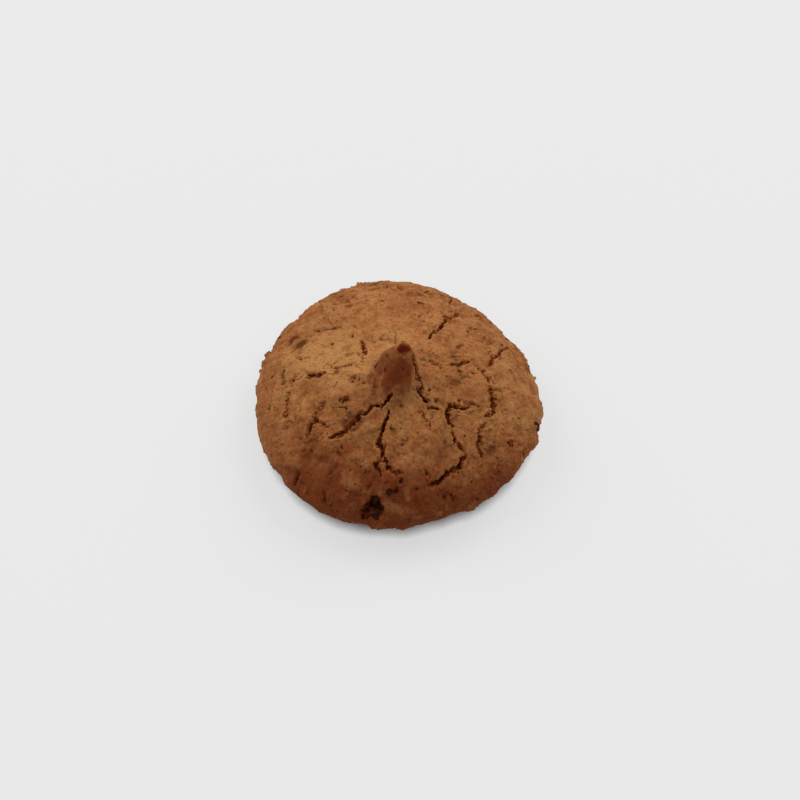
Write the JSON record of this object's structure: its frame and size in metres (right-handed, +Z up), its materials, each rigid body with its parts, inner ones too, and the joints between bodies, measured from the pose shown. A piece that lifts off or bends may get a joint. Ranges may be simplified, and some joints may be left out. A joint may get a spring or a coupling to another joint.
{
  "type": "macaron",
  "caption": "Domed, cracked nut macaroon biscuit with a small piped peak and a flat underside.",
  "frame": {"origin": "middle of the flat underside, on the surface the biscuit stands on", "axes": "+Z up through the peak, -Y the front with the longest cracks, +X to the right of the front"},
  "size_m": [0.0474, 0.0474, 0.0251],
  "materials": {
    "baked_crust": "matt baked nut crust: grainy, freckled with dark nut skin, browner at the rim and peak"
  },
  "bodies": {
    "root": {"macaron": "baked_crust"}
  },
  "joints": []
}
